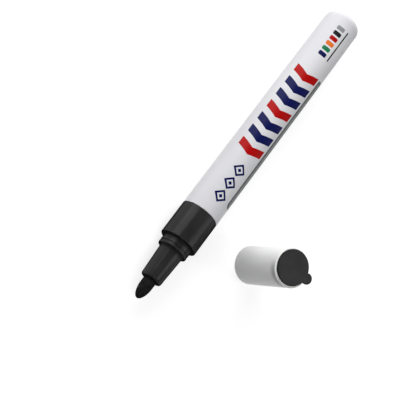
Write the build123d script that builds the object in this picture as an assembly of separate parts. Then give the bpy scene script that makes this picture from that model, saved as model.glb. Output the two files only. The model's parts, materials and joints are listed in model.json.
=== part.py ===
from build123d import *
import os

# Valve-action paint marker, uncapped. Millimetres, X along the pen towards the nib, Z up.
# The origin is on the pen's axis, in the collar's front face, where the cap stops.
# The pen lies on a flat surface and its cap stands beside it on its open mouth.

# Fits shared by several pieces
press_clearance = 0.02
running_clearance = 0.05
cut_overrun = 1.0

# Largest share of a step or wall that the round on its edge may take
round_share = 0.7

# Barrel: drawn aluminium can
barrel_diameter = 15.0
barrel_length = 101.4
barrel_wall = 0.5
barrel_end_wall = 0.7
barrel_end_radius = 3.6

# Front holder: collar flush with the barrel, cap seat, nose and the spigot inside the barrel
collar_length = 13.9
collar_front_radius = 0.2
collar_rear_radius = 0.35
seat_ring_diameter = 12.0
seat_ring_length = 4.0
seat_ring_radius = 0.3
seat_groove_width = 0.5
seat_groove_depth = 0.3
seat_groove_set_back = 1.0
nose_length = 13.2
nose_base_diameter = 9.7
nose_front_diameter = 8.4
nose_front_radius = 0.65
spigot_length = 9.2
spigot_rib_height = 0.3
spigot_rib_width = 0.8
spigot_rib_count = 3

# Nib
nib_diameter = 5.2
nib_length = 30.4
nib_exposed = 8.4
nib_ogive_length = 6.0
nib_rear_chamfer = 0.4
nib_clearance = 0.08
nib_stroke = 2.0
nib_stroke_room = 0.5

# Valve: washer, stem, spring and cage
seat_thickness = 1.5
seat_flow_gap = 0.8
seat_overlap = 0.8
stem_pin_diameter = 2.4
stem_head_thickness = 1.2
stem_guide_diameter = 2.0
stem_tail_length = 1.0
cage_flow_gap = 0.7
cage_wall = 1.0
cage_end_wall = 1.2
cage_flange_width = 0.8
cage_port_count = 4
cage_port_share = 0.3
spring_wire_diameter = 0.5
spring_turns = 8
spring_end_gap = 0.1

# Mixing ball
ball_diameter = 7.0
ball_clearance = 0.1
ball_stop_gap = 0.3

# Cap: shell, liner and end plug
cap_clearance = 0.05
cap_seat_gap = 0.3
cap_ledge = 0.2
cap_wall = 1.2
cap_rim_height = 0.7
cap_slope_width = 0.5
cap_slope_drop = 0.3
cap_neck_depth = 0.3
cap_neck_length = 0.5
cap_neck_fade = 2.8
cap_mouth_radius = 0.3
cap_tip_gap = 0.4
liner_wall = 1.1
liner_end_wall = 0.8
liner_lip_length = 1.2
plug_inset = 0.63
plug_flange_thickness = 0.9
plug_edge_radius = 0.3
plug_skirt_wall = 1.0
plug_skirt_depth = 1.5
plug_skirt_gap = 0.1
tab_radius = 2.15
tab_reach = 2.05
tab_angle = 95.5

# Where the cap stands: back from the collar's front face, and beside the pen
cap_setback = 16.7
cap_stand_off = 18.3

# Radii that several pieces share
barrel_radius = barrel_diameter / 2
bore_radius = barrel_radius - barrel_wall
collar_radius = barrel_radius
seat_ring_outer = seat_ring_diameter / 2
nose_base_outer = nose_base_diameter / 2
nose_front_outer = nose_front_diameter / 2
nib_radius = nib_diameter / 2
nib_bore = nib_radius + nib_clearance
stem_pin_radius = stem_pin_diameter / 2
stem_guide_radius = stem_guide_diameter / 2
seat_hole = stem_pin_radius + seat_flow_gap
stem_head_outer = seat_hole + seat_overlap
cage_bore = stem_head_outer + cage_flow_gap
cage_outer = cage_bore + cage_wall
chamber_bore = cage_outer + press_clearance
ball_radius = ball_diameter / 2

# Stations along the pen, from the nib's tip back to the barrel's end
nose_base_x = seat_ring_length
nose_front_x = nose_base_x + nose_length
nib_tip_x = nose_front_x + nib_exposed
nib_rear_x = nib_tip_x - nib_length
seat_front_x = nib_rear_x - nib_stroke - nib_stroke_room
seat_rear_x = seat_front_x - seat_thickness
stem_head_rear_x = seat_rear_x - stem_head_thickness
barrel_front_x = -collar_length
barrel_rear_x = barrel_front_x - barrel_length
spigot_rear_x = barrel_front_x - spigot_length
cage_rear_x = spigot_rear_x - cage_end_wall
stem_rear_x = cage_rear_x - stem_tail_length
ball_x = stem_rear_x - nib_stroke - ball_stop_gap - ball_radius

# Cap sizes, measured from its mouth up
mouth_bore = seat_ring_outer + cap_clearance
mouth_depth = seat_ring_length + cap_seat_gap
cap_bore = mouth_bore + cap_ledge
cap_outer = cap_bore + cap_wall
liner_outer = cap_bore - press_clearance
liner_bore = liner_outer - liner_wall
liner_lip_bore = nose_base_outer + running_clearance
liner_roof = nib_tip_x + cap_tip_gap
liner_top = liner_roof + liner_end_wall
cap_length = liner_top + plug_skirt_gap + plug_skirt_depth
floor_z = -collar_radius
cap_place = Pos(-cap_setback, collar_radius + cap_stand_off + cap_outer, floor_z) * Rot(0, -90, 0)


def turned(outline, rounds=()):
    """Solid turned about the X axis from (along, radius) points; rounds are (point, radius) pairs."""
    face = make_face(Polyline(*outline, close=True))
    for point, radius in rounds:
        corner = face.vertices().sort_by_distance(point)[0]
        face = fillet(corner, radius)
    return revolve(face, axis=Axis.X)


def limited(radius, wall):
    """Edge radius, held to a share of the wall or step that carries it."""
    return min(radius, round_share * wall)


def ring(x_front, x_rear, inner, outer):
    """Plain ring or sleeve about the X axis."""
    return turned([(x_front, inner), (x_front, outer), (x_rear, outer), (x_rear, inner)])


def barrel():
    """Can with a rounded closed end; its open mouth butts against the collar."""
    end_inner_x = barrel_rear_x + barrel_end_wall
    outer_corner = (barrel_rear_x, barrel_radius)
    inner_corner = (end_inner_x, bore_radius)
    outline = [
        (barrel_front_x, bore_radius),
        (barrel_front_x, barrel_radius),
        outer_corner,
        (barrel_rear_x, 0),
        (end_inner_x, 0),
        inner_corner,
    ]
    inner_radius = barrel_end_radius - barrel_wall
    return turned(outline, [(outer_corner, barrel_end_radius), (inner_corner, inner_radius)])


def front_holder():
    """One moulding: collar, grooved cap seat, tapered nose, ribbed spigot and the stepped bore."""
    rib_outer = bore_radius - press_clearance
    spigot_outer = rib_outer - spigot_rib_height
    nose_corner = (nose_front_x, nose_front_outer)
    seat_corner = (nose_base_x, seat_ring_outer)
    collar_front = (0, collar_radius)
    collar_rear = (barrel_front_x, collar_radius)
    outline = [
        (nose_front_x, nib_bore),
        nose_corner,
        (nose_base_x, nose_base_outer),
        seat_corner,
        (0, seat_ring_outer),
        collar_front,
        collar_rear,
        (barrel_front_x, spigot_outer),
        (spigot_rear_x, spigot_outer),
        (spigot_rear_x, chamber_bore),
        (seat_front_x, chamber_bore),
        (seat_front_x, nib_bore),
    ]
    rounds = [
        (nose_corner, limited(nose_front_radius, nose_front_outer - nib_bore)),
        (seat_corner, limited(seat_ring_radius, seat_ring_outer - nose_base_outer)),
        (collar_front, limited(collar_front_radius, collar_radius - seat_ring_outer)),
        (collar_rear, limited(collar_rear_radius, collar_radius - spigot_outer)),
    ]
    holder = turned(outline, rounds)
    groove_front = nose_base_x - seat_groove_set_back
    groove_rear = groove_front - seat_groove_width
    groove_floor = seat_ring_outer - seat_groove_depth
    holder -= ring(groove_front, groove_rear, groove_floor, seat_ring_outer + cut_overrun)
    rib_pitch = spigot_length / (spigot_rib_count + 1)
    for index in range(spigot_rib_count):
        rib_front = barrel_front_x - (index + 1) * rib_pitch + spigot_rib_width / 2
        rib_inner = (chamber_bore + spigot_outer) / 2
        holder += ring(rib_front, rib_front - spigot_rib_width, rib_inner, rib_outer)
    return holder


def nib():
    """Bullet nib: a rod with an elliptical point and a chamfered rear end."""
    shoulder_x = nib_tip_x - nib_ogive_length
    chamfer_x = nib_rear_x + nib_rear_chamfer
    point = EllipticalCenterArc((shoulder_x, 0), nib_ogive_length, nib_radius, 0, arc_size=90)
    sides = Polyline(
        (shoulder_x, nib_radius),
        (chamfer_x, nib_radius),
        (nib_rear_x, nib_radius - nib_rear_chamfer),
        (nib_rear_x, 0),
        (nib_tip_x, 0),
    )
    return revolve(make_face(point + sides), axis=Axis.X)


def valve_seat():
    """Soft washer between the holder's inner shoulder and the cage's front rim."""
    return ring(seat_front_x, seat_rear_x, seat_hole, chamber_bore - press_clearance)


def valve_stem():
    """Plunger: front pin behind the nib, head that closes the washer, rear guide pin."""
    return turned([
        (nib_rear_x, 0),
        (nib_rear_x, stem_pin_radius),
        (seat_rear_x, stem_pin_radius),
        (seat_rear_x, stem_head_outer),
        (stem_head_rear_x, stem_head_outer),
        (stem_head_rear_x, stem_guide_radius),
        (stem_rear_x, stem_guide_radius),
        (stem_rear_x, 0),
    ])


def valve_spring():
    """Open-wound compression spring round the guide pin, from the stem's head to the cage's end."""
    wire_radius = spring_wire_diameter / 2
    mean_radius = (stem_guide_radius + stem_head_outer) / 2
    end_inset = spring_end_gap + wire_radius
    height = stem_head_rear_x - spigot_rear_x - 2 * end_inset
    pitch = height / spring_turns
    start = (stem_head_rear_x - end_inset, 0, 0)
    coil = Helix(pitch, height, mean_radius, center=start, direction=(-1, 0, 0))
    section = Plane(coil @ 0, z_dir=coil % 0) * Circle(wire_radius)
    print("valve_spring gap between turns:", round(pitch - spring_wire_diameter, 3), "mm")
    return sweep(section, path=coil, is_frenet=True)


def valve_cage():
    """Cup in the holder's spigot: its flange seats on the spigot, its rim clamps the washer."""
    flange_outer = cage_outer + cage_flange_width
    guide_hole = stem_guide_radius + running_clearance
    cage = turned([
        (seat_rear_x, cage_bore),
        (seat_rear_x, cage_outer),
        (spigot_rear_x, cage_outer),
        (spigot_rear_x, flange_outer),
        (cage_rear_x, flange_outer),
        (cage_rear_x, guide_hole),
        (spigot_rear_x, guide_hole),
        (spigot_rear_x, cage_bore),
    ])
    port_radius = cage_port_share * (cage_bore - guide_hole)
    port_circle = (cage_bore + guide_hole) / 2
    port = Cylinder(port_radius, cage_end_wall + 2 * cut_overrun)
    wall_middle = Pos((spigot_rear_x + cage_rear_x) / 2, 0, 0) * Rot(0, 90, 0)
    for index in range(cage_port_count):
        turn = Rot(0, 0, index * 360 / cage_port_count)
        cage -= wall_middle * turn * Pos(port_circle, 0, 0) * port
    return cage


def mixing_ball():
    """Loose steel ball at the bottom of the barrel's bore."""
    ball_z = -(bore_radius - ball_radius - ball_clearance)
    return Pos(ball_x, 0, ball_z) * Sphere(ball_radius)


def cap_shell():
    """White sleeve: mouth that slides over the cap seat, ledge for the liner, sloped rim over a shallow neck."""
    mouth_corner = (0, cap_outer)
    rim_start = cap_length - cap_rim_height
    neck_start = rim_start - cap_neck_length
    neck_outer = cap_outer - cap_neck_depth
    outline = [
        (0, mouth_bore),
        mouth_corner,
        (neck_start - cap_neck_fade, cap_outer),
        (neck_start, neck_outer),
        (rim_start, neck_outer),
        (rim_start, cap_outer),
        (cap_length - cap_slope_drop, cap_outer),
        (cap_length, cap_outer - cap_slope_width),
        (cap_length, cap_bore),
        (mouth_depth, cap_bore),
        (mouth_depth, mouth_bore),
    ]
    return cap_place * turned(outline, [(mouth_corner, limited(cap_mouth_radius, cap_outer - mouth_bore))])


def cap_liner():
    """Soft cup inside the shell; the lip at its mouth closes round the base of the nose."""
    lip_end = mouth_depth + liner_lip_length
    outline = [
        (mouth_depth, liner_lip_bore),
        (mouth_depth, liner_outer),
        (liner_top, liner_outer),
        (liner_top, 0),
        (liner_roof, 0),
        (liner_roof, liner_bore),
        (lip_end, liner_bore),
        (lip_end, liner_lip_bore),
    ]
    return cap_place * turned(outline)


def cap_end_plug():
    """Flanged plug in the shell's top, with one round tab that stops the pen from rolling."""
    flange_outer = cap_outer - plug_inset
    flange_top = cap_length + plug_flange_thickness
    skirt_outer = cap_bore - press_clearance
    skirt_inner = skirt_outer - plug_skirt_wall
    skirt_end = cap_length - plug_skirt_depth
    plug = turned([
        (flange_top, 0),
        (flange_top, flange_outer),
        (cap_length, flange_outer),
        (cap_length, skirt_outer),
        (skirt_end, skirt_outer),
        (skirt_end, skirt_inner),
        (cap_length, skirt_inner),
        (cap_length, 0),
    ])
    tab_middle = Pos(cap_length + plug_flange_thickness / 2, 0, 0) * Rot(0, 90, 0)
    tab_distance = cap_outer + tab_reach - tab_radius
    tab_place = tab_middle * Pos(0, tab_distance, 0)
    plug = Rot(tab_angle - 90, 0, 0) * (plug + tab_place * Cylinder(tab_radius, plug_flange_thickness))
    top_face = plug.faces().sort_by(Axis.X)[-1]
    plug = fillet(top_face.outer_wire().edges(), limited(plug_edge_radius, plug_flange_thickness))
    return cap_place * plug


os.makedirs("parts", exist_ok=True)
pieces = [
    barrel, front_holder, nib, valve_seat, valve_stem, valve_spring, valve_cage, mixing_ball,
    cap_shell, cap_liner, cap_end_plug,
]
for piece in pieces:
    export_step(piece(), f"parts/{piece.__name__}.step")

print("nib stroke:", nib_stroke, "mm")
ball_rear_x = barrel_rear_x + barrel_end_wall + ball_stop_gap + ball_radius
print("ball travel:", round(ball_x - ball_rear_x, 3), "mm")
print("cap centre:", [round(value, 3) for value in cap_place.position], "length", round(cap_length, 3), "mm")
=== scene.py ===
import json
import math
from collections import namedtuple
import bmesh
import bpy
from mathutils import Matrix, Vector, noise


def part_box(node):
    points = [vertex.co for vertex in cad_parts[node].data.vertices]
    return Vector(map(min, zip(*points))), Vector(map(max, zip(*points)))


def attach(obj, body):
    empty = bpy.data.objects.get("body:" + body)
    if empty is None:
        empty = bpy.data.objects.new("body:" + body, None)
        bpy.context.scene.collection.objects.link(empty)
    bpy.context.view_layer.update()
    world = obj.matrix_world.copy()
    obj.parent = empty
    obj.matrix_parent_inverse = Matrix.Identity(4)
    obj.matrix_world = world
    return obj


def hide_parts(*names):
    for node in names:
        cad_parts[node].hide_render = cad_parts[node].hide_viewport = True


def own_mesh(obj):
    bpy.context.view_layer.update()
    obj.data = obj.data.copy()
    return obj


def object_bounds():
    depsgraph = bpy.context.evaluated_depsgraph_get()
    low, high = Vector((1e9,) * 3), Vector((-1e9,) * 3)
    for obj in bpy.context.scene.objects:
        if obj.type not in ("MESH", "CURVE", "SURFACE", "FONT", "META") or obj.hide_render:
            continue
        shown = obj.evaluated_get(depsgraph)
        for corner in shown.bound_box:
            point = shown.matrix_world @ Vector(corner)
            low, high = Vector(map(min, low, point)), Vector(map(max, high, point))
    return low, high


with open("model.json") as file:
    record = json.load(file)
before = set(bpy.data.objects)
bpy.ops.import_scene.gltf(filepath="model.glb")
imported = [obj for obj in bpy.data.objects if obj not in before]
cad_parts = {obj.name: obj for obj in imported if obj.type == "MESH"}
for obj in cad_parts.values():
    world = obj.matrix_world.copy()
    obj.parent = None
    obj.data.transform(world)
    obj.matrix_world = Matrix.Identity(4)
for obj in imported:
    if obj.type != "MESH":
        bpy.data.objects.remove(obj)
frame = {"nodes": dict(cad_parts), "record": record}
cad_low, cad_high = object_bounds()

# The frame is in metres; the sizes below are in millimetres, as on a workshop drawing
MM = 0.001
PEN_AXIS = (1, 0, 0)
UPWARD = (0, 0, 1)
FULL_TURN = 2 * math.pi
TURN_STEPS = 128
RING_SLACK = 0.0005
SLIVER = RING_SLACK / 10
NEARLY_ALONG = 0.9
Round = namedtuple("Round", "corner radius segments")


def node_box(node):
    """Lowest and highest corner of a CAD node, in millimetres."""
    low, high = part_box(node)
    return low / MM, high / MM


def mount_sizes(name):
    """Sizes of one of the record's mounts, in millimetres."""
    return next(mount["dims"] for mount in frame["record"]["mounts"] if mount["name"] == name)


# Stations and radii that the frame gives
barrel_low, barrel_high = node_box("barrel")
holder_low, holder_high = node_box("front_holder")
nib_low, nib_high = node_box("nib")
shell_low, shell_high = node_box("cap_shell")
liner_low, liner_high = node_box("cap_liner")
plug_low, plug_high = node_box("cap_end_plug")
spring_low, spring_high = node_box("valve_spring")
ball_low, ball_high = node_box("mixing_ball")
valve_front = node_box("valve_seat")[1].x
barrel_radius = barrel_high.z
seat_radius = mount_sizes("cap_seat")["r_mm"]
nib_radius = nib_high.z
floor_z = cad_low.z / MM
cap_radius = (shell_high.x - shell_low.x) / 2
cap_x = (shell_high.x + shell_low.x) / 2
cap_y = (shell_high.y + shell_low.y) / 2
cap_height = shell_high.z - shell_low.z
cap_mouth_bore = mount_sizes("cap_mouth")["r_mm"]
cap_mouth_depth = mount_sizes("cap_mouth")["length_mm"]

# Can
barrel_wall = 0.5
barrel_end_wall = 0.7
barrel_end_round = 3.6
barrel_lip_round = 0.12
barrel_floor_reach = 2.0

# Front holder
seat_ring_length = 4.0
seat_edge_round = 0.3
groove_rear = 2.5
groove_front = 3.0
groove_depth = 0.3
groove_edge_round = 0.1
nose_base_radius = 4.85
nose_base_round = 0.4
nose_front_radius = 4.2
nose_front_round = 0.65
nose_bore_round = 0.15
collar_front_round = 0.2
collar_rear_round = 0.35
chamber_bore = 4.52
spigot_radius = 6.68
spigot_rib_radius = 6.98
spigot_rib_width = 0.8
spigot_ribs = 3

# Nib; its fibres leave shallow dents that run along it
nib_play = 0.08
nib_point_length = 6.0
nib_point_steps = 16
nib_side_cuts = 30
nib_rear_chamfer = 0.4
nib_tip_plain = 0.2
fibre_dent = 0.07
fibre_along = 0.12
fibre_around = 9

# Cap: sleeve, liner and plug
cap_bore = 6.25
cap_bore_round = 0.1
cap_slope_width = 0.5
cap_slope_drop = 0.3
cap_slope_round = 0.1
cap_rim_height = 0.7
cap_rim_round = 0.1
cap_neck_depth = 0.3
cap_neck_length = 0.5
cap_neck_round = 0.3
cap_neck_fade = 2.8
cap_fade_round = 0.5
cap_mouth_round = 0.3
cap_mouth_bore_round = 0.15
liner_wall = 1.1
liner_end_wall = 0.8
liner_end_round = 0.3
liner_roof_round = 0.8
liner_lip_bore = 4.9
liner_lip_length = 1.2
liner_lip_round = 0.35
plug_flange_radius = 6.82
plug_flange_shift = (-0.11, -0.10)
plug_flange_steps = 120
plug_edge_round = 0.3
plug_skirt_radius = 6.23
plug_skirt_wall = 1.0
plug_skirt_round = 0.2
tab_radius = 2.15
tab_distance = 7.35
tab_angle = math.radians(95.5)
tab_steps = 32

# Spring and ball
spring_wire = 0.25
spring_wire_sides = 12
spring_turns = 8
spring_steps_per_turn = 28
ball_subdivisions = 5

# The cap's own outline runs up from its mouth, so it is turned upright and set beside the pen
CAP_UPRIGHT = Matrix.Rotation(-math.pi / 2, 4, "Y")
CAP_PLACE = Matrix.Translation(Vector((cap_x, cap_y, floor_z)) * MM) @ CAP_UPRIGHT


def close_mesh(form):
    """Merges seams and poles, then points every face outwards."""
    bmesh.ops.remove_doubles(form, verts=form.verts, dist=RING_SLACK * MM)
    bmesh.ops.dissolve_degenerate(form, edges=form.edges, dist=SLIVER * MM)
    bmesh.ops.recalc_face_normals(form, faces=form.faces)


def trace(form, outline, closed):
    """Wire through (along, radius) points in the plane of the pen's axis."""
    points = [form.verts.new((along * MM, 0, radius * MM)) for along, radius in outline]
    pairs = list(zip(points, points[1:]))
    if closed:
        pairs.append((points[-1], points[0]))
    return [form.edges.new(pair) for pair in pairs]


def spin_wire(form, edges):
    """Turns a wire once round the pen's axis."""
    wire = edges + list(dict.fromkeys(vert for edge in edges for vert in edge.verts))
    bmesh.ops.spin(form, geom=wire, cent=(0, 0, 0), axis=PEN_AXIS, angle=FULL_TURN,
                   steps=TURN_STEPS, use_merge=True)


def ring_edges(form, along, radius):
    """Edges of the ring that an outline's corner leaves when it is turned."""
    def on_ring(vert):
        past_station = abs(vert.co.x - along * MM)
        off_radius = abs(math.hypot(vert.co.y, vert.co.z) - radius * MM)
        return max(past_station, off_radius) < RING_SLACK * MM
    return [edge for edge in form.edges if on_ring(edge.verts[0]) and on_ring(edge.verts[1])]


def round_edges(form, edges, radius, segments):
    """Rounds edges to a radius in millimetres."""
    bmesh.ops.bevel(form, geom=edges, offset=radius * MM, offset_type="OFFSET", segments=segments,
                    profile=0.5, affect="EDGES", clamp_overlap=True, material=-1)


def turned(outline, rounds=(), closed=True):
    """Form turned about the pen's axis from an outline, with some of its corners rounded."""
    form = bmesh.new()
    spin_wire(form, trace(form, outline, closed))
    close_mesh(form)
    for corner, radius, segments in rounds:
        round_edges(form, ring_edges(form, *corner), radius, segments)
    close_mesh(form)
    return form


def only_verts(elements):
    """The vertices among what an operator gives back."""
    return [element for element in elements if isinstance(element, bmesh.types.BMVert)]


def mesh_of(name, form):
    """Mesh with a form's faces."""
    mesh = bpy.data.meshes.new(name)
    form.to_mesh(mesh)
    form.free()
    return mesh


def show(name, data):
    """Object with this data, put into the scene."""
    made = bpy.data.objects.new(name, data)
    bpy.context.scene.collection.objects.link(made)
    return made


def piece(node, form, body, finish, sharp=40):
    """Puts a form into the scene in place of its CAD node; edges past sharp degrees stay crisp."""
    mesh = mesh_of(node + "_form", form)
    mesh.polygons.foreach_set("use_smooth", [True] * len(mesh.polygons))
    mesh.set_sharp_from_angle(angle=math.radians(sharp))
    mesh.materials.append(finish)
    made = show(node + "_finished", mesh)
    even = made.modifiers.new("even_normals", "WEIGHTED_NORMAL")
    even.keep_sharp = True
    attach(made, body)
    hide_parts(node)
    return made


class Nodes:
    """Adds nodes to one node tree and links them."""

    def __init__(self, tree):
        self.tree = tree

    def add(self, kind, inputs=None, **settings):
        """New node with its settings made and its inputs fed."""
        node = self.tree.nodes.new(kind)
        for setting, value in settings.items():
            setattr(node, setting, value)
        for socket, value in (inputs or {}).items():
            self.feed(node.inputs[socket], value)
        return node

    def feed(self, socket, value):
        """Links a socket to another node's output, or sets its plain level."""
        if isinstance(value, bpy.types.NodeSocket):
            self.tree.links.new(value, socket)
        else:
            socket.default_value = value

    def math(self, operation, *values):
        """Result of one sum on values or outputs."""
        return self.add("ShaderNodeMath", dict(enumerate(values)), operation=operation).outputs[0]

    def range(self, value, low, high, to_low=0.0, to_high=1.0, smooth=True):
        """Maps a value from one range to another, held at its ends."""
        curve = "SMOOTHSTEP" if smooth else "LINEAR"
        inputs = {"Value": value, "From Min": low, "From Max": high, "To Min": to_low, "To Max": to_high}
        return self.add("ShaderNodeMapRange", inputs, interpolation_type=curve).outputs[0]

    def seen_directly(self):
        """1 for rays that show the backdrop itself: seen, in gloss and through clear pieces."""
        rays = self.add("ShaderNodeLightPath").outputs
        mirrored = self.math("MAXIMUM", rays["Is Glossy Ray"], rays["Is Transmission Ray"])
        return self.math("MAXIMUM", rays["Is Camera Ray"], mirrored)


class Finish(Nodes):
    """One procedural material: a Principled shader and the nodes that feed it."""

    def __init__(self, name, levels):
        self.material = bpy.data.materials.new(name)
        self.material.use_nodes = True
        super().__init__(self.material.node_tree)
        self.shader = self.tree.nodes["Principled BSDF"]
        for socket, level in levels.items():
            self.give(socket, level)
        self.place = self.add("ShaderNodeTexCoord").outputs["Object"]
        self.x, self.y, self.z = self.add("ShaderNodeSeparateXYZ", {0: self.place}).outputs

    def give(self, socket, value):
        """Feeds one of the shader's own sockets."""
        self.feed(self.shader.inputs[socket], value)

    def near(self, value, centre, reach):
        """1 where a value is within reach of a centre, otherwise 0."""
        return self.math("COMPARE", value, centre, reach)

    def both(self, *masks):
        """1 where every mask is 1."""
        joined = masks[0]
        for mask in masks[1:]:
            joined = self.math("MULTIPLY", joined, mask)
        return joined

    def either(self, *masks):
        """1 where any mask is 1."""
        joined = masks[0]
        for mask in masks[1:]:
            joined = self.math("MAXIMUM", joined, mask)
        return joined

    def rounded(self, along, across, half_along, half_across, corner):
        """1 inside a rectangle with round corners, for distances from its middle lines."""
        past_end = self.math("MAXIMUM", self.math("SUBTRACT", along, half_along - corner), 0.0)
        past_side = self.math("MAXIMUM", self.math("SUBTRACT", across, half_across - corner), 0.0)
        side_square = self.math("MULTIPLY", past_side, past_side)
        square = self.math("MULTIPLY_ADD", past_end, past_end, side_square)
        return self.math("LESS_THAN", square, corner ** 2)

    def repeat(self, value, pitch):
        """Number of the nearest place in an even row, and the distance from it."""
        place = self.math("ROUND", self.math("DIVIDE", value, pitch))
        return place, self.math("ABSOLUTE", self.math("MULTIPLY_ADD", place, -pitch, value))

    def grain(self, size, stretch=(1, 1, 1), detail=3.0, rough=0.55):
        """Noise whose marks are about size millimetres across, drawn out by stretch."""
        squeeze = tuple(1 / length for length in stretch)
        place = self.add("ShaderNodeMapping", {"Vector": self.place, "Scale": squeeze}).outputs[0]
        inputs = {"Vector": place, "Scale": 1 / (size * MM), "Detail": detail, "Roughness": rough}
        return self.add("ShaderNodeTexNoise", inputs).outputs[0]

    def blend(self, share, first, second):
        """Colour from first to second by share."""
        node = self.add("ShaderNodeMix", {0: share}, data_type="RGBA")
        self.feed(node.inputs[6], first)
        self.feed(node.inputs[7], second)
        return node.outputs[2]

    def tint(self, grain, shades, low=0.3, high=0.7):
        """Colour that follows a grain from the first shade to the second."""
        return self.blend(self.range(grain, low, high), *shades)

    def roughen(self, grain, smoothest, roughest, low=0.3, high=0.7):
        """Roughness that follows a grain."""
        self.give("Roughness", self.range(grain, low, high, smoothest, roughest))

    def bump(self, height, depth, strength):
        """Relief of depth millimetres."""
        inputs = {"Height": height, "Distance": depth * MM, "Strength": strength}
        self.give("Normal", self.add("ShaderNodeBump", inputs).outputs[0])


# Lacquer and inks of the can
LACQUER_WHITES = [(0.702, 0.700, 0.731, 1), (0.738, 0.736, 0.760, 1)]
SPECK_GREY = (0.42, 0.42, 0.44, 1)
INK_NAVY = (0.003, 0.006, 0.080, 1)
INK_GREEN = (0.015, 0.190, 0.075, 1)
INK_ORANGE = (0.760, 0.170, 0.020, 1)
INK_RED = (0.430, 0.002, 0.002, 1)
INK_BLACK = (0.012, 0.012, 0.013, 1)
INK_GREY = (0.270, 0.275, 0.285, 1)
INK_SLATE = (0.120, 0.126, 0.128, 1)
INK_PALE = (0.420, 0.430, 0.440, 1)
CHIP_INKS = [INK_NAVY, INK_GREEN, INK_ORANGE, INK_RED, INK_BLACK, INK_GREY]
speck_level = 0.79
speck_strength = 0.25

# Print on the can, in millimetres back from the collar's front face and round from the top line
print_middle = 2.3
chevron_start = 41.2
chevron_pitch = 6.3
chevron_stroke = 3.5
chevron_count = 7
chevron_red_every = 3
chevron_half_height = 5.5
chevron_slope = 0.42
diamond_middle = 28.2
diamond_round = 0.9
diamond_pitch = 6.2
diamond_count = 3
diamond_line_reach = 2.3
diamond_line_half = 0.55
diamond_dot_reach = 0.85
chip_middle = 100.2
chip_pitch = 2.7
chip_half_length = 0.95
chip_half_height = 1.7
chip_corner = 0.5
rule_across = -3.4
rule_half_width = 0.3
panel_middle = 53.2
panel_half = 32.2
panel_edge_angle = math.radians(-31)
panel_far_angle = math.radians(-112)
panel_corner = 1.4
panel_line_inset = 1.5
panel_line_width = 0.3
panel_line_corner = 0.6


def chevron_row(coat, back, off_middle):
    """Masks of a row of chevrons that point to the nib, and of the red ones among them."""
    past_start = coat.math("SUBTRACT", back, chevron_start)
    run = coat.math("MULTIPLY_ADD", off_middle, -chevron_slope, past_start)
    step = coat.math("FLOOR", coat.math("DIVIDE", run, chevron_pitch))
    phase = coat.math("MULTIPLY_ADD", step, -chevron_pitch, run)
    in_stroke = coat.math("LESS_THAN", phase, chevron_stroke)
    in_row = coat.near(step, (chevron_count - 1) / 2, chevron_count / 2)
    in_height = coat.math("LESS_THAN", off_middle, chevron_half_height)
    is_red = coat.math("LESS_THAN", coat.math("FLOORED_MODULO", step, chevron_red_every), 0.5)
    return coat.both(in_stroke, in_row, in_height), is_red


def diamond_row(coat, back, around):
    """Mask of a row of diamonds with a dot in each, in front of the chevrons."""
    place, along = coat.repeat(coat.math("SUBTRACT", back, diamond_middle), diamond_pitch)
    across = coat.math("ABSOLUTE", coat.math("SUBTRACT", around, diamond_round))
    reach = coat.math("ADD", along, across)
    line = coat.near(reach, diamond_line_reach, diamond_line_half)
    dot = coat.math("LESS_THAN", reach, diamond_dot_reach)
    return coat.both(coat.either(line, dot), coat.near(place, 0.0, diamond_count / 2))


def chip_row(coat, back, off_middle):
    """Mask and inks of an even row of colour chips near the closed end."""
    count = len(CHIP_INKS)
    place, along = coat.repeat(coat.math("SUBTRACT", back, chip_middle + chip_pitch / 2), chip_pitch)
    shape = coat.rounded(along, off_middle, chip_half_length, chip_half_height, chip_corner)
    in_row = coat.near(place, -0.5, count / 2)
    share = coat.math("MULTIPLY_ADD", place, 1 / count, 0.5 + 0.5 / count)
    ramp = coat.add("ShaderNodeValToRGB", {0: share})
    bands = ramp.color_ramp
    bands.interpolation = "CONSTANT"
    while len(bands.elements) < count:
        bands.elements.new(0.5)
    for index, ink in enumerate(CHIP_INKS):
        bands.elements[index].position = index / count
        bands.elements[index].color = ink
    return coat.both(shape, in_row), ramp.outputs[0]


def chip_rule(coat, back, across):
    """Mask of a thin rule beside the chips, as long as their row."""
    half_length = (len(CHIP_INKS) - 1) / 2 * chip_pitch + chip_half_length
    in_length = coat.near(back, chip_middle, half_length)
    return coat.both(coat.near(across, rule_across, rule_half_width), in_length)


def far_panel(coat, back, around):
    """Masks of a panel with round corners down the far side, and of a fine line inside its edge."""
    middle = (panel_edge_angle + panel_far_angle) / 2 * barrel_radius
    reach = (panel_edge_angle - panel_far_angle) / 2 * barrel_radius
    along = coat.math("ABSOLUTE", coat.math("SUBTRACT", back, panel_middle))
    across = coat.math("ABSOLUTE", coat.math("SUBTRACT", around, middle))
    panel = coat.rounded(along, across, panel_half, reach, panel_corner)
    outer, inner = [
        coat.rounded(along, across, panel_half - inset, reach - inset, panel_line_corner)
        for inset in (panel_line_inset, panel_line_inset + panel_line_width)
    ]
    return panel, coat.math("SUBTRACT", outer, inner)


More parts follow.
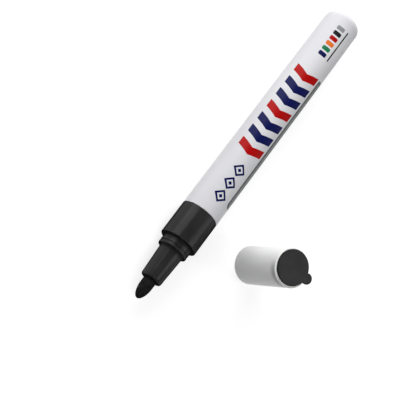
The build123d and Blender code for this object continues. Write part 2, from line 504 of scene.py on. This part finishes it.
def white_lacquer():
    """Satin white lacquer over the can, with a generic print of chevrons, diamonds and colour chips."""
    coat = Finish("white_lacquer", {"IOR": 1.5, "Specular IOR Level": 0.1})
    back = coat.math("MULTIPLY", coat.x, -1 / MM)
    angle = coat.math("ARCTAN2", coat.math("MULTIPLY", coat.y, -1.0), coat.z)
    around = coat.math("MULTIPLY", angle, barrel_radius)
    across = coat.math("SUBTRACT", around, print_middle)
    off_middle = coat.math("ABSOLUTE", across)
    chevrons, is_red = chevron_row(coat, back, off_middle)
    chips, chip_inks = chip_row(coat, back, off_middle)
    panel, panel_line = far_panel(coat, back, around)

    mottle = coat.grain(size=9.0, stretch=(4, 1, 1), detail=2.0)
    colour = coat.tint(mottle, LACQUER_WHITES)
    specks = coat.math("GREATER_THAN", coat.grain(size=0.35, detail=1.0), speck_level)
    layers = [
        (coat.math("MULTIPLY", specks, speck_strength), SPECK_GREY),
        (chevrons, coat.blend(is_red, INK_NAVY, INK_RED)),
        (diamond_row(coat, back, around), INK_NAVY),
        (chips, chip_inks),
        (chip_rule(coat, back, across), INK_BLACK),
        (panel, INK_SLATE),
        (panel_line, INK_PALE),
    ]
    for mask, ink in layers:
        colour = coat.blend(mask, colour, ink)
    coat.give("Base Color", colour)

    scuff = coat.grain(size=1.6, stretch=(14, 1, 1), detail=4.0, rough=0.7)
    coat.roughen(scuff, smoothest=0.30, roughest=0.46, low=0.35, high=0.75)
    coat.bump(coat.grain(size=1.1, detail=1.0), depth=0.012, strength=0.35)
    return coat.material


# Black of the holder: its shades, its rubbed rims as (station, reach), and its sheen
HOLDER_BLACKS = [(0.020, 0.020, 0.021, 1), (0.028, 0.028, 0.029, 1)]
RUBBED_GREY = (0.085, 0.085, 0.088, 1)
rubbed_rims = [(0.0, 0.35), (holder_high.x, 0.4), (barrel_high.x, 0.3)]
rub_strength = 0.5
nose_polish = 0.04
holder_sheen = 0.125
edge_sheen = 0.0
sheen_fade = (0.33, 0.68)
corner_start = 0.2
corner_reach = 2.2
corner_sheen_share = 0.15


def black_moulding():
    """Satin black moulding of the holder: rubbed edges, dull corners, less sheen at a flat angle."""
    black = Finish("black_moulding", {"IOR": 1.5, "Specular IOR Level": holder_sheen})
    along = black.math("MULTIPLY", black.x, 1 / MM)
    colour = black.tint(black.grain(size=5.0, stretch=(3, 1, 1)), HOLDER_BLACKS)
    rims = black.either(*(black.near(along, station, reach) for station, reach in rubbed_rims))
    wear = black.range(black.grain(size=0.8, detail=4.0, rough=0.7), low=0.48, high=0.72)
    rubbed = black.math("MULTIPLY", black.both(rims, wear), rub_strength)
    black.give("Base Color", black.blend(rubbed, colour, RUBBED_GREY))

    # The nose is smoother than the collar
    smear = black.grain(size=2.2, stretch=(6, 1, 1), detail=4.0, rough=0.65)
    roughness = black.range(smear, low=0.3, high=0.75, to_low=0.18, to_high=0.26)
    past_collar = black.math("GREATER_THAN", along, 0.0)
    black.give("Roughness", black.math("MULTIPLY_ADD", past_collar, -nose_polish, roughness))

    # Sheen, less where the surface turns away and in the corners where ring and nose begin
    turned_away = black.add("ShaderNodeLayerWeight", {"Blend": 0.5}).outputs["Facing"]
    sheen = black.range(turned_away, *sheen_fade, to_low=holder_sheen, to_high=edge_sheen)
    on_nose = black.math("GREATER_THAN", along, seat_ring_length)
    past_corner = black.math("MULTIPLY_ADD", on_nose, -seat_ring_length, along)
    clean = black.range(past_corner, corner_start, corner_reach, to_low=corner_sheen_share)
    clean = black.either(clean, black.math("LESS_THAN", along, 0.0))
    black.give("Specular IOR Level", black.math("MULTIPLY", sheen, clean))
    black.bump(black.grain(size=0.16, detail=2.0), depth=0.010, strength=0.45)
    return black.material


# Black of the plug, with painted shade on the flange's edge, which begins and ends so far below the face
PLUG_BLACKS = [(0.030, 0.030, 0.031, 1), (0.037, 0.037, 0.038, 1)]
PLUG_EDGE_SHADE_BLACK = (0.002, 0.002, 0.002, 1)
plug_edge_shade_start = 0.02
plug_edge_shade_end = 0.12


def dull_moulding():
    """Duller black moulding of the cap's plug, with a fine spark-eroded surface and painted shade on the
    flange's edge.
    """
    black = Finish("dull_moulding", {"IOR": 1.5, "Specular IOR Level": 0.12})
    colour = black.tint(black.grain(size=4.0), PLUG_BLACKS)
    edge_shade_low = (plug_high.z - plug_edge_shade_end) * MM
    edge_shade_high = (plug_high.z - plug_edge_shade_start) * MM
    # Painted shade: the flange's edge wall is nearly black, standing in for the shade it lies in
    face = black.range(black.z, edge_shade_low, edge_shade_high)
    black.give("Base Color", black.blend(face, PLUG_EDGE_SHADE_BLACK, colour))
    smear = black.grain(size=1.8, detail=4.0, rough=0.65)
    black.roughen(smear, smoothest=0.42, roughest=0.52, high=0.75)
    black.bump(black.grain(size=0.16, detail=2.0), depth=0.010, strength=0.45)
    return black.material


FELT_BLACKS = [(0.002, 0.002, 0.002, 1), (0.031, 0.031, 0.032, 1)]
felt_clump_share = 0.4


def black_felt():
    """Pressed fibre soaked with black paint, fibres along the nib."""
    felt = Finish("black_felt", {"IOR": 1.4, "Specular IOR Level": 0.04})
    fibres = felt.grain(size=0.16, stretch=(14, 1, 1), detail=4.0, rough=0.65)
    clumps = felt.grain(size=0.7, stretch=(4, 1, 1))
    fibre_part = felt.math("MULTIPLY", fibres, 1 - felt_clump_share)
    weave = felt.math("MULTIPLY_ADD", clumps, felt_clump_share, fibre_part)
    felt.give("Base Color", felt.tint(weave, FELT_BLACKS, low=0.38, high=0.66))
    felt.roughen(clumps, smoothest=0.62, roughest=0.88)
    felt.bump(weave, depth=0.09, strength=0.8)
    return felt.material


# White of the cap, with a painted highlight on its rim, and the painted shade behind the rim: the
# shade's side, width, length and strength
CAP_WHITES = [(0.890, 0.890, 0.893, 1), (0.910, 0.910, 0.911, 1)]
RIM_HIGHLIGHT_WHITE = (0.955, 0.955, 0.955, 1)
PAINTED_SHADE_GREY = (0.30, 0.30, 0.30, 1)
painted_shade_toward = (0.975, -0.22)
painted_shade_edge = 0.40
painted_shade_core = 0.93
painted_shade_length = 4.0
painted_shade_strength = 0.74


def cap_painted_shade(white):
    """How strong the painted shade is: it lies on one side of the sleeve and fades down from the rim."""
    painted_shade_x, painted_shade_y = painted_shade_toward
    off_axis_x = white.math("MULTIPLY_ADD", white.x, painted_shade_x, -cap_x * painted_shade_x * MM)
    off_axis_y = white.math("MULTIPLY_ADD", white.y, painted_shade_y, -cap_y * painted_shade_y * MM)
    toward = white.math("ADD", off_axis_x, off_axis_y)
    round_share = white.range(toward, cap_radius * painted_shade_edge * MM, cap_radius * painted_shade_core * MM)
    painted_shade_low = (shell_high.z - painted_shade_length) * MM
    painted_shade_high = (shell_high.z - painted_shade_length / 2) * MM
    high_share = white.range(white.z, painted_shade_low, painted_shade_high)
    return white.math("MULTIPLY", white.both(round_share, high_share), painted_shade_strength)


def white_moulding():
    """Smooth white moulding of the cap's sleeve."""
    levels = {"IOR": 1.5, "Subsurface Weight": 0.08, "Subsurface Scale": 0.0006}
    white = Finish("white_moulding", levels)
    colour = white.tint(white.grain(size=7.0, stretch=(1, 1, 2), detail=2.0), CAP_WHITES)
    # Painted shade: grey on one side of the sleeve just below the rim, standing in for shadow
    colour = white.blend(cap_painted_shade(white), colour, PAINTED_SHADE_GREY)
    # Painted highlight: the top band of the sleeve is a brighter white, standing in for light catching
    # the rim
    rim = white.math("GREATER_THAN", white.z, (shell_high.z - cap_rim_height) * MM)
    white.give("Base Color", white.blend(rim, colour, RIM_HIGHLIGHT_WHITE))
    rub = white.grain(size=1.2, stretch=(1, 1, 8), detail=4.0, rough=0.7)
    white.roughen(rub, smoothest=0.30, roughest=0.36, low=0.35, high=0.75)
    white.bump(white.grain(size=0.9, detail=1.0), depth=0.006, strength=0.3)
    return white.material


MILKY_SHADES = [(0.68, 0.68, 0.63, 1), (0.77, 0.77, 0.73, 1)]


def natural_moulding():
    """Milky unpigmented plastic of the liner, the stem and the cage."""
    levels = {"IOR": 1.5, "Subsurface Weight": 0.2, "Subsurface Scale": 0.001}
    milky = Finish("natural_moulding", levels)
    milky.give("Base Color", milky.tint(milky.grain(size=2.5), MILKY_SHADES))
    milky.roughen(milky.grain(size=0.6), smoothest=0.40, roughest=0.55)
    milky.bump(milky.grain(size=0.2, detail=2.0), depth=0.006, strength=0.4)
    return milky.material


RUBBER_GREYS = [(0.024, 0.024, 0.026, 1), (0.075, 0.075, 0.078, 1)]


def soft_rubber():
    """Dark grey sealing rubber with a dusty bloom."""
    rubber = Finish("soft_rubber", {"IOR": 1.5})
    bloom = rubber.grain(size=0.5, detail=4.0, rough=0.7)
    rubber.give("Base Color", rubber.tint(bloom, RUBBER_GREYS, low=0.45, high=0.75))
    rubber.roughen(bloom, smoothest=0.68, roughest=0.86)
    rubber.bump(bloom, depth=0.015, strength=0.5)
    return rubber.material


METAL_GREYS = [(0.47, 0.48, 0.50, 1), (0.60, 0.61, 0.63, 1)]


def bright_metal(name, stretch, smoothest, roughest):
    """Bare metal with marks drawn out along its working direction."""
    metal = Finish(name, {"Metallic": 1.0})
    marks = metal.grain(size=0.25, stretch=stretch, detail=4.0, rough=0.65)
    metal.give("Base Color", metal.tint(marks, METAL_GREYS))
    metal.roughen(marks, smoothest, roughest)
    metal.bump(marks, depth=0.003, strength=0.4)
    return metal.material


def barrel():
    """Drawn can: open mouth in front, rounded closed end."""
    bore = barrel_radius - barrel_wall
    front, rear = barrel_high.x, barrel_low.x
    floor = rear + barrel_end_wall
    outline = [
        (rear, 0), (rear, barrel_radius), (front, barrel_radius),
        (front, bore), (floor, bore), (floor, 0),
    ]
    rounds = [
        Round((rear, barrel_radius), barrel_end_round, segments=14),
        Round((floor, bore), barrel_end_round - barrel_wall, segments=10),
        Round((front, barrel_radius), barrel_lip_round, segments=3),
    ]
    return turned(outline, rounds, closed=False)


def bare_inside(can):
    """Gives the can's inner wall and floor their own bare metal."""
    bare = bright_metal("bare_aluminium", stretch=(30, 1, 1), smoothest=0.30, roughest=0.48)
    can.data.materials.append(bare)
    for face in can.data.polygons:
        toward_axis = face.normal.y * face.center.y + face.normal.z * face.center.z < 0
        toward_mouth = face.normal.x > NEARLY_ALONG
        near_end = face.center.x < (barrel_low.x + barrel_floor_reach) * MM
        if toward_axis or (toward_mouth and near_end):
            face.material_index = 1


def front_holder():
    """Collar, grooved cap seat, tapered nose, ribbed spigot and the stepped bore, as one moulding."""
    nib_bore = nib_radius + nib_play
    nose_front, collar_rear, spigot_rear = holder_high.x, barrel_high.x, holder_low.x
    groove_floor = seat_radius - groove_depth
    outline = [
        (nose_front, nib_bore), (nose_front, nose_front_radius), (seat_ring_length, nose_base_radius),
        (seat_ring_length, seat_radius), (groove_front, seat_radius), (groove_front, groove_floor),
        (groove_rear, groove_floor), (groove_rear, seat_radius), (0, seat_radius), (0, barrel_radius),
        (collar_rear, barrel_radius), (collar_rear, spigot_radius),
    ]
    rib_pitch = (collar_rear - spigot_rear) / (spigot_ribs + 1)
    for index in range(spigot_ribs):
        rib_front = collar_rear - (index + 1) * rib_pitch + spigot_rib_width / 2
        rib_rear = rib_front - spigot_rib_width
        outline += [(rib_front, spigot_radius), (rib_front, spigot_rib_radius)]
        outline += [(rib_rear, spigot_rib_radius), (rib_rear, spigot_radius)]
    outline += [(spigot_rear, spigot_radius), (spigot_rear, chamber_bore)]
    outline += [(valve_front, chamber_bore), (valve_front, nib_bore)]
    rounds = [
        Round((nose_front, nose_front_radius), nose_front_round, segments=8),
        Round((nose_front, nib_bore), nose_bore_round, segments=3),
        Round((seat_ring_length, nose_base_radius), nose_base_round, segments=5),
        Round((seat_ring_length, seat_radius), seat_edge_round, segments=5),
        Round((groove_front, seat_radius), groove_edge_round, segments=3),
        Round((groove_rear, seat_radius), groove_edge_round, segments=3),
        Round((0, barrel_radius), collar_front_round, segments=5),
        Round((collar_rear, barrel_radius), collar_rear_round, segments=5),
    ]
    return turned(outline, rounds)


def nib():
    """Bullet nib with shallow dents between its fibres."""
    shoulder = nib_high.x - nib_point_length
    steps = [math.radians(90 * index / nib_point_steps) for index in range(nib_point_steps + 1)]
    point = [
        (shoulder + nib_point_length * math.cos(step), nib_radius * math.sin(step)) for step in steps
    ]
    rear = nib_low.x
    rear_end = [(rear + nib_rear_chamfer, nib_radius), (rear, nib_radius - nib_rear_chamfer), (rear, 0)]
    form = bmesh.new()
    edges = trace(form, point + rear_end, closed=False)
    side = edges[len(point) - 1]
    bmesh.ops.subdivide_edges(form, edges=[side], cuts=nib_side_cuts)
    spin_wire(form, form.edges[:])
    close_mesh(form)
    for vert in form.verts:
        off_axis = math.hypot(vert.co.y, vert.co.z)
        if off_axis < nib_tip_plain * MM:
            continue
        fibre = Vector((
            vert.co.x / MM * fibre_along,
            vert.co.y / off_axis * fibre_around,
            vert.co.z / off_axis * fibre_around,
        ))
        dent = 0.5 * (1 + noise.noise(fibre)) * fibre_dent * MM
        vert.co.yz = vert.co.yz * (1 - dent / off_axis)
    bmesh.ops.recalc_face_normals(form, faces=form.faces)
    return form


def cap_shell():
    """White sleeve, open at both ends."""
    rim = cap_height - cap_rim_height
    neck = rim - cap_neck_length
    neck_start = neck - cap_neck_fade
    neck_radius = cap_radius - cap_neck_depth
    slope_end = cap_height - cap_slope_drop
    slope_radius = cap_radius - cap_slope_width
    outline = [
        (0, cap_mouth_bore), (0, cap_radius), (neck_start, cap_radius), (neck, neck_radius),
        (rim, neck_radius), (rim, cap_radius), (slope_end, cap_radius), (cap_height, slope_radius),
        (cap_height, cap_bore), (cap_mouth_depth, cap_bore), (cap_mouth_depth, cap_mouth_bore),
    ]
    rounds = [
        Round((slope_end, cap_radius), cap_slope_round, segments=4),
        Round((rim, cap_radius), cap_rim_round, segments=3),
        Round((neck, neck_radius), cap_neck_round, segments=4),
        Round((neck_start, cap_radius), cap_fade_round, segments=4),
        Round((0, cap_radius), cap_mouth_round, segments=5),
        Round((0, cap_mouth_bore), cap_mouth_bore_round, segments=3),
        Round((cap_height, cap_bore), cap_bore_round, segments=2),
    ]
    form = turned(outline, rounds)
    form.transform(CAP_PLACE)
    return form


def cap_liner():
    """Soft cup inside the cap, with a lip at its mouth."""
    top = liner_high.z - floor_z
    outer = (liner_high.x - liner_low.x) / 2
    bore = outer - liner_wall
    lip_end = cap_mouth_depth + liner_lip_length
    roof = top - liner_end_wall
    outline = [
        (top, 0), (top, outer), (cap_mouth_depth, outer), (cap_mouth_depth, liner_lip_bore),
        (lip_end, liner_lip_bore), (lip_end, bore), (roof, bore), (roof, 0),
    ]
    rounds = [
        Round((cap_mouth_depth, liner_lip_bore), liner_lip_round, segments=5),
        Round((lip_end, liner_lip_bore), liner_lip_round, segments=5),
        Round((roof, bore), liner_roof_round, segments=6),
        Round((top, outer), liner_end_round, segments=4),
    ]
    form = turned(outline, rounds, closed=False)
    form.transform(CAP_PLACE)
    return form


def triangle_angle(side, beside, opposite):
    """Angle between two sides of a triangle, from all three."""
    return math.acos((side ** 2 + beside ** 2 - opposite ** 2) / (2 * side * beside))


def flange_outline(form, middle):
    """Edge of the plug's disc and tab, as two arcs that meet in the corners between them."""
    outward = Vector((math.cos(tab_angle), math.sin(tab_angle), 0))
    tab_middle = middle + outward * tab_distance * MM
    disc_gap = triangle_angle(tab_distance, plug_flange_radius, tab_radius)
    tab_gap = triangle_angle(tab_distance, tab_radius, plug_flange_radius)
    corner = Matrix.Rotation(disc_gap, 3, "Z") @ outward * plug_flange_radius * MM
    start = form.verts.new(middle + corner)
    disc = bmesh.ops.spin(form, geom=[start], cent=middle, axis=UPWARD, angle=FULL_TURN - 2 * disc_gap,
                          steps=plug_flange_steps)
    bmesh.ops.spin(form, geom=only_verts(disc["geom_last"]), cent=tab_middle, axis=UPWARD,
                   angle=FULL_TURN - 2 * tab_gap, steps=tab_steps)
    bmesh.ops.remove_doubles(form, verts=form.verts, dist=RING_SLACK * MM)
    return [edge for edge in form.edges if edge.is_wire]


def cap_end_plug():
    """Black plug as one skin: a flange with one round tab, and the skirt that holds it in the sleeve."""
    depth = plug_low.z - floor_z
    inner = plug_skirt_radius - plug_skirt_wall
    outline = [
        (cap_height, plug_skirt_radius), (depth, plug_skirt_radius),
        (depth, inner), (cap_height, inner),
    ]
    rounds = [Round((depth, plug_skirt_radius), plug_skirt_round, segments=3)]
    form = turned(outline, rounds, closed=False)
    skirt_rim = ring_edges(form, cap_height, plug_skirt_radius)
    hollow_rim = ring_edges(form, cap_height, inner)
    form.transform(CAP_PLACE)

    # The flange stands on the sleeve's end: its wall, its top and hollow, and its underside
    top = plug_high.z * MM
    shift_x, shift_y = plug_flange_shift
    middle = Vector((cap_x + shift_x, cap_y + shift_y, shell_high.z)) * MM
    flange_edge = flange_outline(form, middle)
    raised = bmesh.ops.extrude_edge_only(form, edges=flange_edge)
    bmesh.ops.translate(form, verts=only_verts(raised["geom"]), vec=(0, 0, top - middle.z))
    at_top = {vert for vert in form.verts if abs(vert.co.z - top) < RING_SLACK * MM}
    rim = [edge for edge in form.edges if at_top.issuperset(edge.verts)]
    bmesh.ops.contextual_create(form, geom=rim)
    bmesh.ops.contextual_create(form, geom=hollow_rim)
    bmesh.ops.triangle_fill(form, edges=flange_edge + skirt_rim, use_beauty=True, normal=UPWARD)
    bmesh.ops.recalc_face_normals(form, faces=form.faces)
    round_edges(form, rim, plug_edge_round, segments=5)
    return form


def valve_spring():
    """Open coil of drawn wire round the stem's guide pin."""
    mean_radius = spring_high.z - spring_wire
    coil_front = spring_high.x - spring_wire
    coil_rear = spring_low.x + spring_wire
    steps = spring_turns * spring_steps_per_turn
    creep = (coil_rear - coil_front) / steps * MM
    wire_end = Matrix.Translation(Vector((coil_front, 0, mean_radius)) * MM)
    wire_end = wire_end @ Matrix.Rotation(math.pi / 2, 4, "X")
    form = bmesh.new()
    bmesh.ops.create_circle(form, cap_ends=True, segments=spring_wire_sides, radius=spring_wire * MM,
                            matrix=wire_end)
    disc = form.verts[:] + form.edges[:] + form.faces[:]
    bmesh.ops.spin(form, geom=disc, cent=(0, 0, 0), axis=(-1, 0, 0), dvec=(creep, 0, 0),
                   angle=spring_turns * FULL_TURN, steps=steps)
    bmesh.ops.recalc_face_normals(form, faces=form.faces)
    return form


def mixing_ball():
    """Ground ball, loose in the barrel."""
    radius = (ball_high.z - ball_low.z) / 2
    place = Matrix.Translation((ball_low + ball_high) / 2 * MM)
    form = bmesh.new()
    bmesh.ops.create_icosphere(form, subdivisions=ball_subdivisions, radius=radius * MM, matrix=place)
    return form


lacquer = white_lacquer()
milky = natural_moulding()

barrel_piece = piece("barrel", barrel(), "pen", lacquer)
bare_inside(barrel_piece)
piece("front_holder", front_holder(), "pen", black_moulding())
piece("nib", nib(), "nib", black_felt(), sharp=60)
piece("cap_shell", cap_shell(), "cap", white_moulding())
piece("cap_liner", cap_liner(), "cap", milky)
piece("cap_end_plug", cap_end_plug(), "cap", dull_moulding())
ground_steel = bright_metal("ground_steel", stretch=(1, 1, 1), smoothest=0.12, roughest=0.24)
piece("mixing_ball", mixing_ball(), "mixing_ball", ground_steel)

# The spring gets a mesh of its own
spring_steel = bright_metal("spring_wire", stretch=(1, 6, 6), smoothest=0.22, roughest=0.38)
spring_piece = piece("valve_spring", valve_spring(), "pen", spring_steel)
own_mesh(spring_piece)

# CAD nodes whose shape is right keep it and get a finish
kept_finishes = {
    "valve_seat": soft_rubber(),
    "valve_stem": milky,
    "valve_cage": milky,
}
for node, finish in kept_finishes.items():
    frame["nodes"][node].data.materials.clear()
    frame["nodes"][node].data.materials.append(finish)

# Camera: its place, lens and nearest distance in millimetres, and its turn in degrees
camera_eye = (128.987, -165.059, 384.398)
camera_heading = 42.2464
camera_tilt = 29.6225
camera_roll = 88.7556
camera_lens = 108.0
camera_sensor = 36.0
camera_nearest = 10.0

# Studio, in metres: how floor and sky brighten, and the share of the sky that lights the object
WHITE = (1, 1, 1, 1)
FLOOR_GREY = (0.55, 0.55, 0.55, 1)
floor_half_width = 2.0
floor_fade = (0.16, 0.7)
floor_glow = (0.68, 1.0)
sky_fade = (0.15, 0.45)
sky_glow = (1.0, 0.2)
sky_fill = 0.34


def camera():
    """Camera at the photograph's viewing angle."""
    data = bpy.data.cameras.new("camera")
    data.sensor_width = camera_sensor
    data.lens = camera_lens
    data.clip_start = camera_nearest * MM
    heading = Matrix.Rotation(math.radians(camera_heading), 4, "Z")
    tilt = Matrix.Rotation(math.radians(camera_tilt), 4, "X")
    roll = Matrix.Rotation(math.radians(camera_roll), 4, "Z")
    made = show("camera", data)
    made.matrix_world = Matrix.Translation(Vector(camera_eye) * MM) @ heading @ tilt @ roll
    bpy.context.scene.camera = made


def soft_box(name, toward, distance, size, power):
    """Area lamp that faces the object from a direction."""
    middle = (cad_low + cad_high) / 2
    direction = Vector(toward).normalized()
    data = bpy.data.lights.new(name, "AREA")
    data.shape = "RECTANGLE"
    data.size, data.size_y = size
    data.energy = power
    made = show(name, data)
    made.location = middle + direction * distance
    made.rotation_mode = "QUATERNION"
    made.rotation_quaternion = (-direction).to_track_quat("-Z", "Y")


def studio_floor():
    """Plain pale floor that reads white and keeps a soft shadow."""
    form = bmesh.new()
    bmesh.ops.create_grid(form, x_segments=1, y_segments=1, size=floor_half_width)
    bmesh.ops.translate(form, verts=form.verts, vec=(0, 0, cad_low.z))
    mesh = mesh_of("studio_floor", form)
    paper = Finish("pale_floor", {"Base Color": FLOOR_GREY, "Roughness": 0.9, "Emission Color": WHITE})
    away = paper.add("ShaderNodeVectorMath", {0: paper.place}, operation="LENGTH").outputs["Value"]
    glow = paper.range(away, *floor_fade, *floor_glow, smooth=False)
    paper.give("Emission Strength", paper.math("MULTIPLY", glow, paper.seen_directly()))
    mesh.materials.append(paper.material)
    made = show("studio_floor", mesh)


def studio_world():
    """White round the horizon, dim overhead."""
    world = bpy.data.worlds.new("studio_world")
    bpy.context.scene.world = world
    world.use_nodes = True
    sky = Nodes(world.node_tree)
    direction = sky.add("ShaderNodeTexCoord").outputs["Generated"]
    height = sky.add("ShaderNodeSeparateXYZ", {0: direction}).outputs["Z"]
    glow = sky.range(height, *sky_fade, *sky_glow)
    level = sky.range(sky.seen_directly(), 0.0, 1.0, to_low=sky_fill, smooth=False)
    background = sky.tree.nodes["Background"]
    sky.feed(background.inputs["Color"], WHITE)
    sky.feed(background.inputs["Strength"], sky.math("MULTIPLY", glow, level))


camera()
studio_floor()
studio_world()
soft_box("key_box", toward=(-0.69, -0.61, 0.33), distance=0.48, size=(0.7, 0.52), power=3.7)
soft_box("strip_box", toward=(-0.17, 0.61, 0.75), distance=0.5, size=(0.13, 0.40), power=0.5)
soft_box("top_box", toward=(0.38, -0.08, 0.92), distance=0.38, size=(0.18, 0.18), power=0.3)
bpy.context.scene.view_settings.view_transform = "Standard"
